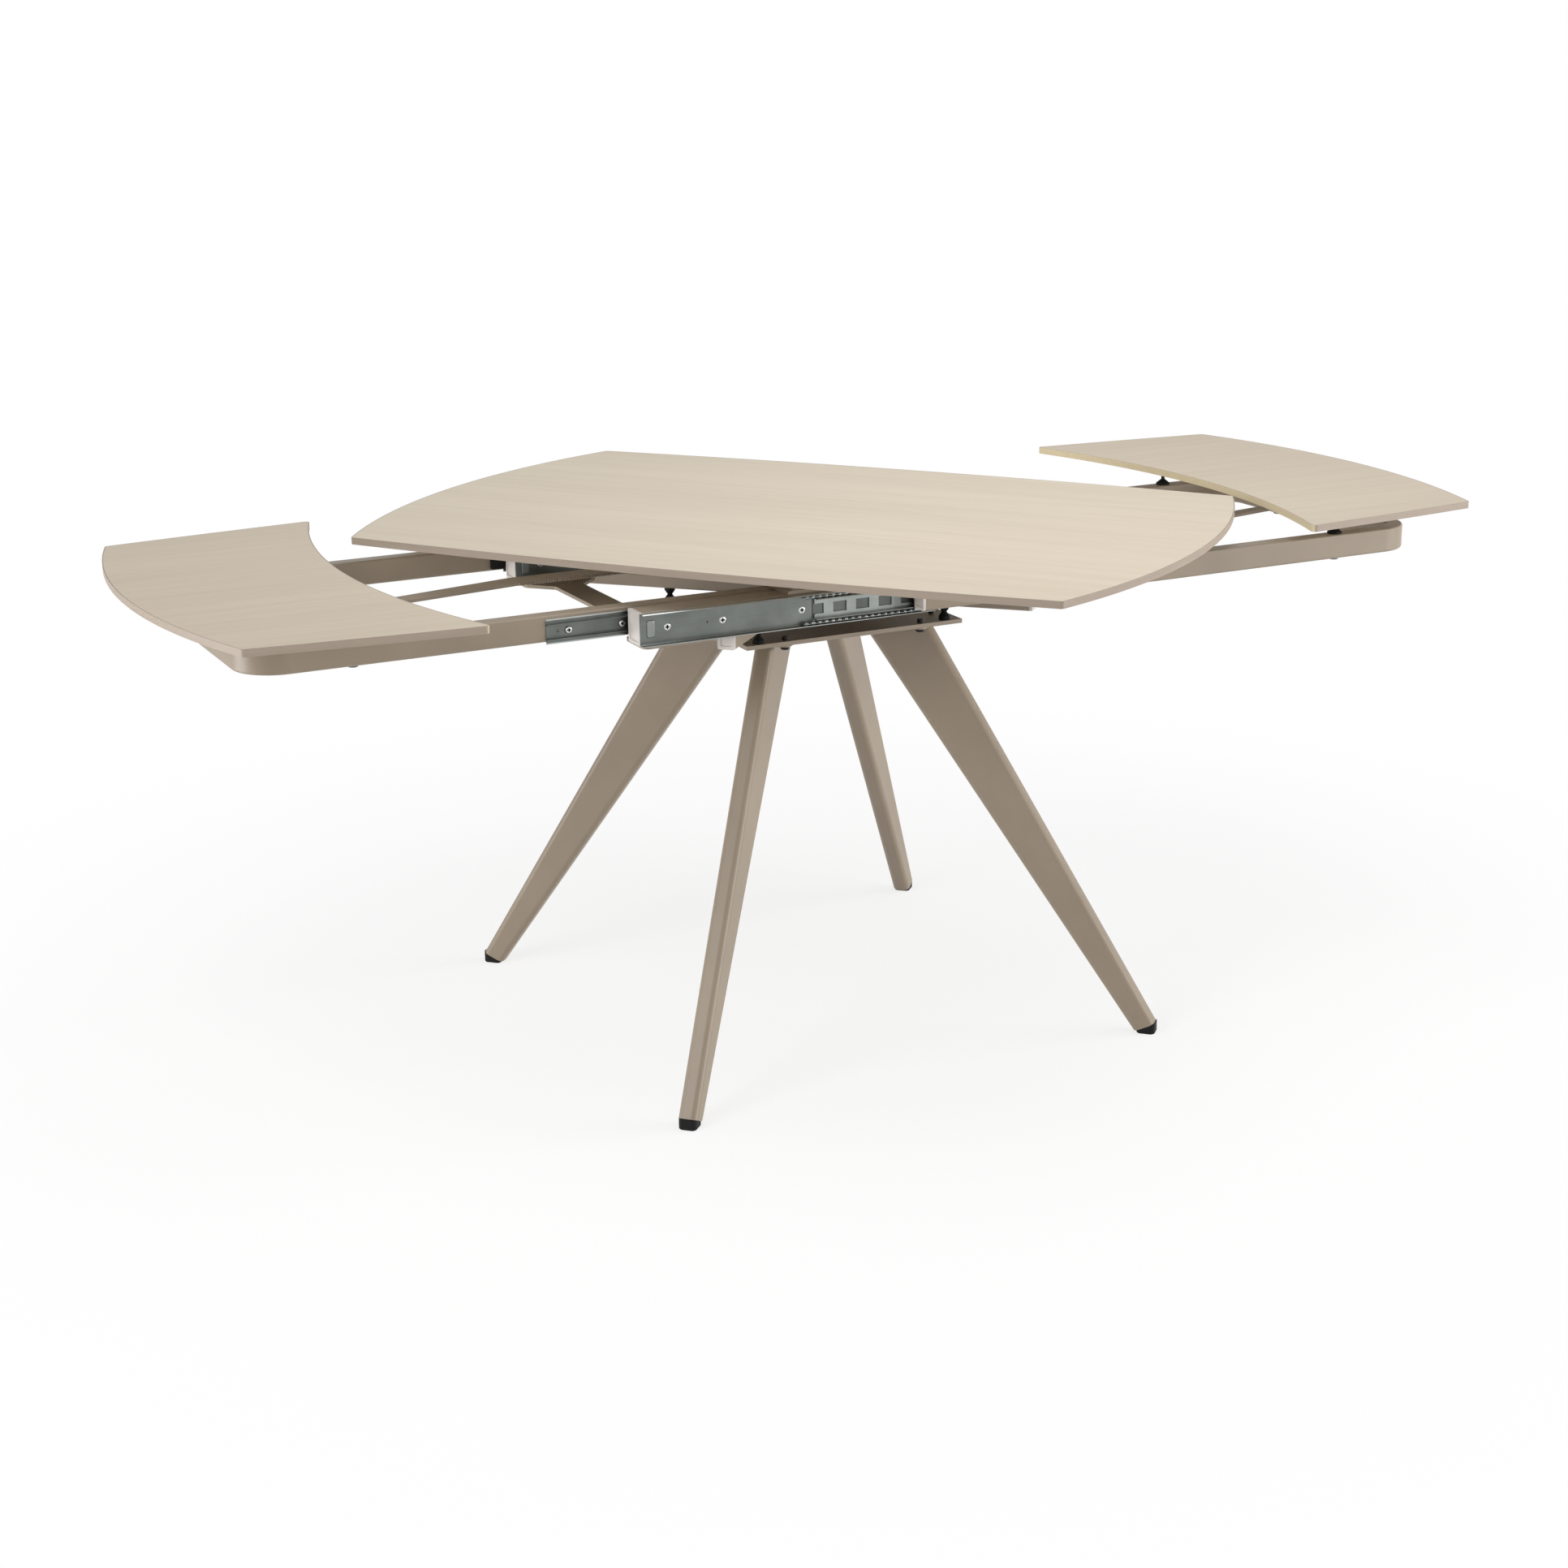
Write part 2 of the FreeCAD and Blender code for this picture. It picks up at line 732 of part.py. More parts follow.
def support_places():
    """Where the leaf's four supports stand on the right frame."""
    middle = (near_arm + far_arm) / 2
    bar = frame_reach - arm_thickness / 2
    half = support_bar_spread / 2
    return [(support_arm_reach, near_arm), (support_arm_reach, far_arm),
            (bar, middle - half), (bar, middle + half)]


def make_frame():
    tube_end = arm_end + cap_flange
    skin = u_face(frame_half, frame_reach, frame_bend, arm_thickness, tube_end, arm_bottom)
    skin = skin.extrude(vec(0, 0, arm_height))
    long_edges = [e for e in skin.Edges if e.BoundBox.ZLength < 1e-6 and e.BoundBox.XMax > tube_end + 1]
    skin = skin.makeFillet(frame_corner, long_edges)
    core = u_face(frame_half - frame_wall, frame_reach - frame_wall, frame_bend - frame_wall,
                  arm_thickness - 2 * frame_wall, tube_end - 1, arm_bottom + frame_wall)
    core = core.extrude(vec(0, 0, arm_height - 2 * frame_wall))
    holes = [post(support_bolt_radius + hole_clearance, arm_bottom - 1, arm_top + 1, x, y)
             for x, y in support_places()]
    for y, length in ((near_arm, outer_runner_length), (far_arm, slide_length)):
        holes += [slide_screw_hole(x, y + arm_thickness / 2 + 1, -1, frame_wall + 2)
                  for x in runner_screw_rows(length)]
    return skin.cut(core).cut(holes)


def make_arm_caps():
    cap = tube_cap(arm_thickness, arm_height, frame_wall, frame_corner)
    return Part.makeCompound([moved(cap, arm_end + cap_flange, y, arm_bottom)
                              for y in (near_arm, far_arm)])


def make_supports():
    """Cones on the frame that carry the leaf on slim stems."""
    cone_top = support_base_height + support_cone_height
    height = leaf_bottom - arm_top
    outline = [vec(0, 0, 0), vec(support_base_radius, 0, 0),
               vec(support_base_radius, 0, support_base_height),
               vec(support_stem_radius, 0, cone_top),
               vec(support_stem_radius, 0, height - support_pad_height),
               vec(support_pad_radius, 0, height - support_pad_height),
               vec(support_pad_radius, 0, height), vec(0, 0, height)]
    support = face_of(outline).revolve(ORIGIN, UP, 360)
    return Part.makeCompound([moved(support, x, y, arm_top) for x, y in support_places()])


def make_support_bolts():
    solids = []
    for x, y in support_places():
        head = button_head(support_bolt_head, support_bolt_head_height, arm_bottom, x, y)
        shank = post(support_bolt_radius, arm_bottom, arm_top, x, y)
        solids.append(head.fuse(shank))
    return Part.makeCompound(solids)


# Rack and pinion


def make_rack():
    """Right frame's drive bar: teeth on the -Y side of the pinion, then slanted to the end bar.

    A tooth gap faces the pinion's tooth.
    """
    pitch = math.pi * rack_module
    slope = math.tan(math.radians(pressure_angle))
    half = (pitch / 2 - tooth_backlash) / 2
    tip = -pinion_radius + tooth_addendum
    root = -pinion_radius - tooth_dedendum
    back = root - rack_back
    points = [vec(-rack_tip, back, 0), vec(-rack_tip, root, 0)]
    first = -rack_tip + pitch - (pitch / 2 - rack_tip) % pitch
    for k in range(rack_teeth):
        centre = first + k * pitch
        points += [vec(centre - half - tooth_dedendum * slope, root, 0),
                   vec(centre - half + tooth_addendum * slope, tip, 0),
                   vec(centre + half - tooth_addendum * slope, tip, 0),
                   vec(centre + half + tooth_dedendum * slope, root, 0)]
    end = first + rack_teeth * pitch
    points.append(vec(end, root, 0))
    foot = frame_reach - arm_thickness
    points += [vec(foot, rack_foot_shift + rack_foot_width / 2, 0),
               vec(foot, rack_foot_shift - rack_foot_width / 2, 0), vec(end, back, 0)]
    return moved(face_of(points).extrude(vec(0, 0, rack_thickness)), 0, 0, rack_bottom)


def involute(radius, base):
    """Angle turned by an involute between its base circle and a radius."""
    roll = math.sqrt(max((radius / base) ** 2 - 1, 0.0))
    return roll - math.atan(roll)


def make_pinion():
    base = pinion_radius * math.cos(math.radians(pressure_angle))
    root = pinion_radius - tooth_dedendum
    tip = pinion_radius + tooth_addendum
    half = (math.pi * rack_module / 2 - tooth_backlash) / 2 / pinion_radius
    flank = [(root, half + involute(pinion_radius, base))] if root < base else []
    for radius in (max(root, base), pinion_radius, tip):
        flank.append((radius, half + involute(pinion_radius, base) - involute(radius, base)))
    points = []
    for k in range(pinion_teeth):
        centre = math.pi / 2 + 2 * math.pi * k / pinion_teeth
        for radius, angle in flank:
            points.append((radius, centre - angle))
        for radius, angle in reversed(flank):
            points.append((radius, centre + angle))
    outline = face_of([vec(r * math.cos(a), r * math.sin(a), 0) for r, a in points])
    wheel = outline.extrude(vec(0, 0, pinion_thickness))
    wheel = moved(wheel, 0, 0, (rack_top + rack_bottom - pinion_thickness) / 2)
    return wheel.cut(post(post_radius + running_clearance, rack_bottom - pinion_thickness, beam_top))


def make_rack_guide():
    """Angle under the carrier that keeps the right frame's rack up and against the pinion."""
    back = -pinion_radius - tooth_dedendum - rack_back - guide_clearance
    low = rack_bottom - guide_clearance
    web = box(guide_start, guide_start + guide_length, back - guide_wall, back,
              low - guide_wall, beam_top)
    shelf = box(guide_start, guide_start + guide_length, back - guide_wall,
                -pinion_radius + tooth_addendum, low - guide_wall, low)
    return web.fuse(shelf).removeSplitter()


# Swivel and hub


def carrier_screw_places():
    x = carrier_length / 2 - carrier_screw_inset
    return [(a * x, b * beam_spread) for a in (-1, 1) for b in (-1, 1)]


def make_carrier():
    half = beam_spread + beam_width / 2
    plate = box(-carrier_length / 2, carrier_length / 2, -half, half, beam_top, carrier_top)
    holes = [post(carrier_screw_radius + hole_clearance, beam_top - 1, carrier_top + 1, x, y)
             for x, y in carrier_screw_places()]
    holes.append(post(post_radius, beam_top - 1, carrier_top + 1))
    return plate.cut(holes)


def make_carrier_screws():
    solids = []
    for x, y in carrier_screw_places():
        head = post(carrier_screw_head, carrier_top, carrier_top + carrier_screw_head_height, x, y)
        shank = post(carrier_screw_radius, carrier_top - carrier_screw_length, carrier_top, x, y)
        solids.append(head.fuse(shank))
    return Part.makeCompound(solids)


def raceway():
    middle = (ring_inner_radius + ring_outer_radius) / 2
    level = (lower_ring_top + upper_ring_bottom) / 2
    return Part.makeTorus(middle, ring_ball_radius + ring_ball_play, vec(0, 0, level), UP)


def make_ring(bottom):
    ring = post(ring_outer_radius, bottom, bottom + ring_height)
    ring = ring.cut(post(ring_inner_radius, bottom - 1, bottom + ring_height + 1))
    return ring.cut(raceway())


def make_ring_balls():
    """Balls of the swivel in their flat cage."""
    middle = (ring_inner_radius + ring_outer_radius) / 2
    level = (lower_ring_top + upper_ring_bottom) / 2
    low = level - ring_cage_thickness / 2
    high = level + ring_cage_thickness / 2
    cage = post(middle + ring_cage_margin, low, high)
    cage = cage.cut(post(middle - ring_cage_margin, low - 1, high + 1))
    balls = []
    pockets = []
    for k in range(ring_ball_count):
        angle = 360.0 * k / ring_ball_count
        balls.append(turned(Part.makeSphere(ring_ball_radius, vec(middle, 0, level)), angle))
        pocket = post(ring_ball_radius + ring_ball_play, low - 1, high + 1, middle, 0)
        pockets.append(turned(pocket, angle))
    return Part.makeCompound([cage.cut(pockets)] + balls)


def make_hub():
    """Disc under the top, counterbored for the pivot post's head."""
    disc = post(hub_radius, hub_bottom, top_bottom)
    bore = post(post_radius + running_clearance, hub_bottom - 1, top_bottom + 1)
    seat = top_bottom - counterbore_clearance - post_head_height - head_clearance
    counterbore = post(post_head_radius + counterbore_clearance, seat, top_bottom + 1)
    return disc.cut([bore, counterbore])


def make_post():
    """Pivot pin: head in the hub, collar on the carrier, tail for the pinion."""
    head_bottom = top_bottom - counterbore_clearance - post_head_height
    pin = post(post_radius, beam_top - post_tail, head_bottom)
    head = post(post_head_radius, head_bottom, head_bottom + post_head_height)
    collar = post(post_collar_radius, carrier_top, carrier_top + post_collar_height)
    return pin.fuse([head, collar])


def pinion_bottom():
    return (rack_top + rack_bottom - pinion_thickness) / 2


def make_post_washer():
    """Spacer between the carrier and the pinion."""
    low = pinion_bottom() + pinion_thickness + head_clearance
    ring = post(post_collar_radius, low, beam_top)
    return ring.cut(post(post_radius, low - 1, beam_top + 1))


def make_post_nut():
    """Nut that keeps the pinion on the post."""
    high = pinion_bottom() - head_clearance
    nut = moved(six_sided(post_nut_radius, post_nut_height), 0, 0, high - post_nut_height)
    return nut.cut(post(post_radius, high - post_nut_height - 1, high + 1))


# Boards


def circle_meeting(centre_a, radius_a, centre_b, radius_b):
    """Meeting point with the largest X and Y of two circles in plan."""
    span = centre_b - centre_a
    distance = span.Length
    along = (radius_a ** 2 - radius_b ** 2 + distance ** 2) / (2 * distance)
    height = math.sqrt(radius_a ** 2 - along ** 2)
    way = vec(span.x / distance, span.y / distance, 0)
    foot = centre_a + way * along
    choices = [foot + vec(-way.y, way.x, 0) * height, foot - vec(-way.y, way.x, 0) * height]
    return max(choices, key=lambda p: p.x + p.y)


def board(outline, low, inset):
    solid = Part.Face(Part.Wire(outline)).extrude(vec(0, 0, board_thickness))
    upright = [e for e in solid.Edges if e.BoundBox.ZLength > board_thickness / 2
               and e.BoundBox.XLength < 1e-6]
    return moved(solid.makeFillet(corner_radius - inset, upright), 0, 0, low)


def top_outline(inset):
    """Barrel: two end arcs and two flatter side arcs that meet at the corners."""
    half_length = top_length / 2 - inset
    half_width = top_width / 2 - inset
    end = end_arc_radius - inset
    side = side_arc_radius - inset
    corner = circle_meeting(vec(half_length - end, 0, 0), end, vec(0, half_width - side, 0), side)
    a, b = corner.x, corner.y
    return [
        arc_through(vec(a, -b, 0), vec(half_length, 0, 0), vec(a, b, 0)),
        arc_through(vec(a, b, 0), vec(0, half_width, 0), vec(-a, b, 0)),
        arc_through(vec(-a, b, 0), vec(-half_length, 0, 0), vec(-a, -b, 0)),
        arc_through(vec(-a, -b, 0), vec(0, -half_width, 0), vec(a, -b, 0)),
    ]


def leaf_outline(inset):
    """Right leaf: hollow inner end, rounded outer end, sides that carry on the top's sides."""
    inner_tip = top_length / 2 + inset
    outer_tip = top_length / 2 + leaf_depth - inset
    inner_radius = end_arc_radius + inset
    outer_radius = end_arc_radius - inset
    side = side_arc_radius - inset
    side_centre = vec(0, top_width / 2 - inset - side, 0)
    inner = circle_meeting(vec(inner_tip - inner_radius, 0, 0), inner_radius, side_centre, side)
    outer = circle_meeting(vec(outer_tip - outer_radius, 0, 0), outer_radius, side_centre, side)
    middle_x = (inner.x + outer.x) / 2
    middle_y = side_centre.y + math.sqrt(side ** 2 - middle_x ** 2)
    return [
        arc_through(vec(inner.x, inner.y, 0), vec(inner_tip, 0, 0), vec(inner.x, -inner.y, 0)),
        arc_through(vec(inner.x, -inner.y, 0), vec(middle_x, -middle_y, 0),
                    vec(outer.x, -outer.y, 0)),
        arc_through(vec(outer.x, -outer.y, 0), vec(outer_tip, 0, 0), vec(outer.x, outer.y, 0)),
        arc_through(vec(outer.x, outer.y, 0), vec(middle_x, middle_y, 0), vec(inner.x, inner.y, 0)),
    ]


def board_and_band(outline, low):
    """Board without its edge strip, and the strip round it."""
    whole = board(outline(0.0), low, 0.0)
    core = board(outline(edge_band), low, edge_band)
    return core, whole.cut(core)


def main():
    os.makedirs("parts", exist_ok=True)
    corners = ("rear_right", "rear_left", "front_left", "front_right")
    leg = make_leg()
    glide = make_glide()
    for k, corner in enumerate(corners):
        save("leg_" + corner, turned(leg, leg_angle + 90 * k))
    save("foot_glides", Part.makeCompound([turned(glide, leg_angle + 90 * k) for k in range(4)]))
    save("leg_bolts", make_leg_bolts())
    save("base_plate", make_base_plate())
    save("base_standoffs", make_standoffs())
    full = cross_tube_reach - cap_flange
    save("cross_tube_long", cross_tube(-full, full, leg_angle))
    save("cross_tube_front", cross_tube(cross_tube_width / 2, full, leg_angle - 90))
    save("cross_tube_rear", cross_tube(cross_tube_width / 2, full, leg_angle + 90))
    save("cross_tube_caps", make_cross_caps())

    near_beam = make_near_beam()
    save("beam_front", near_beam)
    save("beam_rear", other_side(near_beam))
    save("beam_caps", make_beam_caps())
    tie = make_tie_plate()
    save("tie_plate_right", tie)
    save("tie_plate_left", other_side(tie))
    save("tie_plate_screws", make_tie_screws())

    save("channel_screws", make_channel_screws())

    leaf, leaf_band = board_and_band(leaf_outline, leaf_bottom)
    outer_cage = make_cage(outer_cage_start, outer_cage_length, outer_cage_back, outer_ball_radius,
                           outer_ball_half)
    inner_cage = make_cage(inner_cage_start, inner_cage_length, inner_cage_back, ball_radius,
                           inner_ball_half)
    halves = {
        "slide_channels": pair(make_channel()),
        "slide_middles": pair(make_middle()),
        "slide_runners": pair(make_runner(outer_runner_length), make_runner(slide_length)),
        "runner_bumpers": make_bumper(),
        "slide_outer_cages": pair(outer_cage),
        "slide_inner_cages": pair(inner_cage),
        "frame": make_frame(),
        "frame_caps": make_arm_caps(),
        "runner_screws": pair(make_runner_screws(outer_runner_length),
                              make_runner_screws(slide_length)),
        "leaf_supports": make_supports(),
        "support_bolts": make_support_bolts(),
        "rack": make_rack(),
        "leaf": moved(leaf, leaf_overrun, 0, 0),
        "leaf_edge": moved(leaf_band, leaf_overrun, 0, 0),
    }
    for name, right in halves.items():
        save(name + "_right", right)
        save(name + "_left", other_side(right))

    guide = make_rack_guide()
    save("rack_guides", Part.makeCompound([guide, other_side(guide)]))
    save("carrier_plate", make_carrier())
    save("carrier_screws", make_carrier_screws())
    save("swivel_lower_ring", make_ring(carrier_top))
    save("swivel_upper_ring", make_ring(upper_ring_bottom))
    save("swivel_balls", make_ring_balls())
    save("pivot_post", make_post())
    save("pivot_spacer", make_post_washer())
    save("pivot_nut", make_post_nut())
    save("pinion", make_pinion())
    save("top_hub", make_hub())
    top, top_band = board_and_band(top_outline, top_bottom)
    save("top_board", turned(top, top_angle))
    save("top_edge", turned(top_band, top_angle))


main()
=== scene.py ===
"""Looks of the extending table: finishes, ball rows, screw heads, light and camera.

Metres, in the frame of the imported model: the origin is on the floor under the swivel, the frames
slide along X and +Z is up.
"""

import json
import math

import bmesh
import bpy
from mathutils import Matrix, Vector


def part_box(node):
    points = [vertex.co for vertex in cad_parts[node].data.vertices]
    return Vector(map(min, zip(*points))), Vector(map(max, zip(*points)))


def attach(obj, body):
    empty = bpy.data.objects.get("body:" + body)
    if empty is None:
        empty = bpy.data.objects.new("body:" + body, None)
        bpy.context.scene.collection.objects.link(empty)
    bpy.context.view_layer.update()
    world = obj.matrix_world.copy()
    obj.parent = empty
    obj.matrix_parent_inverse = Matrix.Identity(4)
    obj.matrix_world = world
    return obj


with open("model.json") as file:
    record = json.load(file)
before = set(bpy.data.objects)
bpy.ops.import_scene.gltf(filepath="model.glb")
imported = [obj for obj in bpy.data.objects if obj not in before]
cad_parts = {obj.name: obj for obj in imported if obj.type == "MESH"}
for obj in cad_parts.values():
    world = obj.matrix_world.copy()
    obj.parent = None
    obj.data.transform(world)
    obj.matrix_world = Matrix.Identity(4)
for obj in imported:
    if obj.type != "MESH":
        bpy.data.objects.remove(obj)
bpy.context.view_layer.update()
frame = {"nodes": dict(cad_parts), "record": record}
nodes = frame["nodes"]
up = Vector((0, 0, 1))
sides = ("left", "right")
beams = ("beam_front", "beam_rear")

# Camera, fitted to the photograph
image_size = 1932.0
focal_pixels = 3437.25
camera_place = Vector((-1.8093, -3.5738, 1.5417))
camera_heading = 0.4602
camera_pitch = 0.292
camera_roll = 0.0118
sensor_width = 36.0
view_depth = 300.0

# Light: each soft box has a place, a target, a size and a power
world_strength = 0.35
soft_boxes = {
    "over_box": (Vector((0.3, -0.4, 2.3)), Vector((0.3, -0.4, 0.7)), (1.2, 1.2), 14.8),
    "right_box": (Vector((6.5, -2.1, 1.9)), Vector((0.1, -0.1, 0.5)), (3.2, 2.8), 246.0),
    "right_low_box": (Vector((5.1, -4.3, 0.8)), Vector((0.1, -0.1, 0.4)), (3.2, 1.6), 196.0),
    "left_low_box": (Vector((-2.6, 0.55, 0.3)), Vector((-0.2, 0.0, 0.3)), (1.2, 0.5), 20.0),
    "left_box": (Vector((-5.0, -2.0, 2.9)), Vector((-0.2, 0.0, 0.5)), (2.8, 2.8), 155.0),
}
# Boxes that no surface mirrors
unmirrored_boxes = ("right_box",)

# Floor: what it sends back to the table, what the eye sees, and the pool that keeps the shadow
floor_half = 120.0
floor_bounce = (0.95, 0.95, 0.95)
floor_low = (0.93, 0.93, 0.93)
floor_high = (0.95, 0.95, 0.95)
floor_cloud_scale = 0.7
floor_roughness = 0.9
floor_sheen = 0.1
pool_inner = 0.5
pool_outer = 1.9
pool_white_share = 0.77

# Ball rows, whose first and last balls are in the model's cages
ball_radii = {"outer": 0.0028, "inner": 0.0018}
cage_end = 0.006
ball_pitch = 0.0104
ball_depth = 0.0075
ball_sides = 16
ball_rings = 9

# Screw heads, flat ones where a cage passes over them
screw_reach = 0.02
screw_head_radius = 0.0050
channel_head_rise = 0.00042
runner_head_rise = 0.0018
screw_head_profile = ((1.0, 0.0), (0.97, 0.45), (0.86, 0.8), (0.72, 0.95))
cross_arm = 0.0029
cross_half_width = 0.0009
cross_depth = 0.0022
cross_taper = 0.8
screw_spokes = 48
least_slope = 1e-6

# Stop pads over the raised stops at the channels' closed ends
pad_inset = 0.0156
pad_length = 0.0112
pad_height = 0.0236
pad_base = 0.0012
pad_rise = 0.00125
pad_corner = 0.0028
pad_corner_steps = 6
pad_profile = ((1.0, 0.0), (1.0, 0.6), (0.96, 0.9), (0.88, 1.0))

# Wood print, whose grain runs along the top's own length, and along the slides on the leaves
top_angle = math.radians(-51.6)
white = (1.0, 1.0, 1.0)
band_stretch = (0.9, 7.0, 7.0)
streak_stretch = (2.6, 80.0, 80.0)
streak_tones = [(0.3, (0.88, 0.86, 0.82)), (0.56, white), (0.8, (1.04, 1.04, 1.05))]
streak_share = 0.6
pore_stretch = (26.0, 700.0, 700.0)
pore_tones = [(0.28, (0.82, 0.79, 0.74)), (0.4, white)]
pore_share = 0.4
wood_roughness = (0.42, 0.54)
wood_sheen = 0.4

# Edge strips, and how squarely a side faces along X where the bare board starts and is full
strip_stretch = (6.0, 6.0, 160.0)
strip_roughness = (0.46, 0.58)
chip_scale = 900.0
bare_facing = (0.45, 0.7)

# Paint and moulded plastic
paint_cloud_scale = 9.0
peel_scale = 1400.0
plastic_cloud_scale = 35.0
hub_speckle = 160.0

# Folded sheet: edge rounding, and how far its rims reach in from above and below: a painted
# highlight on the lips of channels and runners, painted light on the cages' ball-row bands
sheet_edge_radius = 0.0007
sheet_edge_samples = 4
lip_highlight_depth = 0.0016
cage_light_rim_depth = 0.0075
rolling_stretch = (14.0, 700.0, 700.0)
rolling_shade = (0.92, 0.92, 0.92)
blotch_scale = 26.0
blotch_stops = (0.32, 0.68)

# Colours
pale_wood = (0.642, 0.558, 0.438)
dark_wood = (0.603, 0.521, 0.404)
# painted shade: the leaves' laminate is the top's, darkened by about a tenth
shaded_pale_leaf = (0.581, 0.497, 0.384)
shaded_dark_leaf = (0.543, 0.462, 0.355)
pale_strip = (0.31, 0.25, 0.195)
dark_strip = (0.28, 0.224, 0.173)
bare_board = (0.60, 0.50, 0.32)
hub_brown = (0.30, 0.24, 0.17)
taupe = (0.250, 0.200, 0.146)
zinc = (0.158, 0.170, 0.160)
# painted shade: a darker zinc for the cages' middle band, which shows through the middles' windows
painted_shade_zinc = (0.105, 0.113, 0.107)
pale_zinc = (0.27, 0.29, 0.28)
pad_zinc = (0.24, 0.255, 0.248)
# painted highlight: a light grey laid along the lips of the channels and runners
painted_highlight_grey = (0.46, 0.48, 0.47)
# painted light: a lighter grey for the cages' bands along the ball rows
painted_light_cage_grey = (0.30, 0.32, 0.31)
steel = (0.66, 0.67, 0.67)
ball_grey = (0.50, 0.51, 0.50)
# painted shade: near black for the screw heads' cross recesses
recess_painted_shade_grey = (0.05, 0.05, 0.05)
oxide_black = (0.014, 0.013, 0.012)
plastic_black = (0.010, 0.010, 0.010)
milky_white = (0.56, 0.52, 0.488)

# Sockets of a colour mix node
mix_factor = 0
mix_first = 6
mix_second = 7
mix_result = 2


# Materials


def start_material(name):
    """New node material: its shader, and functions that add a node and plug into the shader."""
    material = bpy.data.materials.new(name)
    material.use_nodes = True
    tree = material.node_tree
    shader = tree.nodes["Principled BSDF"]

    def add(kind, links=None, **settings):
        node = tree.nodes.new(kind)
        for key, value in settings.items():
            if key.startswith("in_"):
                node.inputs[key[3:].replace("_", " ")].default_value = value
            else:
                setattr(node, key, value)
        for socket, source in (links or {}).items():
            tree.links.new(source, node.inputs[socket])
        return node

    def plug(source, socket):
        tree.links.new(source, shader.inputs[socket])

    return material, shader, add, plug


def object_place(add):
    return add("ShaderNodeTexCoord").outputs["Object"]


def stretched_place(add, scale, turn=0.0):
    """Object coordinates turned about Z and stretched, for grain and brushing."""
    turned = add("ShaderNodeMapping", {"Vector": object_place(add)})
    turned.inputs["Rotation"].default_value = (0, 0, turn)
    stretched = add("ShaderNodeMapping", {"Vector": turned.outputs["Vector"]})
    stretched.inputs["Scale"].default_value = scale
    return stretched.outputs["Vector"]


def noise(add, place, detail, scale=1.0, roughness=0.5):
    return add("ShaderNodeTexNoise", {"Vector": place}, in_Scale=scale, in_Detail=detail,
               in_Roughness=roughness).outputs["Fac"]


def ramp(add, factor, tones):
    """Colour ramp through pairs of a position and a colour."""
    node = add("ShaderNodeValToRGB", {"Fac": factor})
    elements = node.color_ramp.elements
    while len(elements) < len(tones):
        elements.new(0.5)
    for element, (position, colour) in zip(elements, tones):
        element.position = position
        element.color = (*colour, 1)
    return node.outputs["Color"]


def two_tone(add, factor, low, high, stops=(0.3, 0.7)):
    return ramp(add, factor, list(zip(stops, (low, high))))


def shaded(colour, share):
    return tuple(c * share for c in colour)


def mix(add, factor, first, second, blend="MIX"):
    node = add("ShaderNodeMix", data_type="RGBA", blend_type=blend)
    tree = node.id_data
    if isinstance(factor, float):
        node.inputs[mix_factor].default_value = factor
    else:
        tree.links.new(factor, node.inputs[mix_factor])
    for socket, value in ((node.inputs[mix_first], first), (node.inputs[mix_second], second)):
        if isinstance(value, tuple):
            socket.default_value = (*value, 1)
        else:
            tree.links.new(value, socket)
    return node.outputs[mix_result]


def spread(add, factor, low, high):
    """Map a 0 to 1 factor to a range."""
    node = add("ShaderNodeMapRange", {"Value": factor}, in_To_Min=low, in_To_Max=high)
    return node.outputs["Result"]


def bump(add, height, strength, distance=0.0003):
    return add("ShaderNodeBump", {"Height": height}, in_Strength=strength,
               in_Distance=distance).outputs["Normal"]


def laminate(name, turn, pale, dark):
    """Pale wood print under a satin coat: broad soft bands, fine streaks and short pores."""
    material, shader, add, plug = start_material(name)
    bands = noise(add, stretched_place(add, band_stretch, turn), detail=3.0)
    streaks = noise(add, stretched_place(add, streak_stretch, turn), detail=5.0, roughness=0.62)
    pores = noise(add, stretched_place(add, pore_stretch, turn), detail=2.0)
    colour = two_tone(add, bands, dark, pale)
    colour = mix(add, streak_share, colour, ramp(add, streaks, streak_tones), "MULTIPLY")
    colour = mix(add, pore_share, colour, ramp(add, pores, pore_tones), "MULTIPLY")
    plug(colour, "Base Color")
    plug(spread(add, streaks, *wood_roughness), "Roughness")
    plug(bump(add, pores, strength=0.06, distance=0.0004), "Normal")
    shader.inputs["Specular IOR Level"].default_value = wood_sheen
    return material


def edge_strip(name, bare_way=None):
    """Edge strip; the bare board shows on the side that faces bare_way along X, if it is given."""
    material, _, add, plug = start_material(name)
    streaks = noise(add, stretched_place(add, strip_stretch), detail=4.0)
    chips = noise(add, object_place(add), detail=3.0, scale=chip_scale)
    colour = two_tone(add, streaks, dark_strip, pale_strip)
    if bare_way:
        outward = add("ShaderNodeTexCoord").outputs["Normal"]
        parts = add("ShaderNodeSeparateXYZ", {"Vector": outward})
        start, full = (f * bare_way for f in bare_facing)
        facing = add("ShaderNodeMapRange", {"Value": parts.outputs["X"]}, in_From_Min=start,
                     in_From_Max=full)
        bare = two_tone(add, chips, shaded(bare_board, 0.86), shaded(bare_board, 1.1))
        colour = mix(add, facing.outputs["Result"], colour, bare)
    plug(colour, "Base Color")
    plug(spread(add, streaks, *strip_roughness), "Roughness")
    plug(bump(add, chips, strength=0.05), "Normal")
    return material


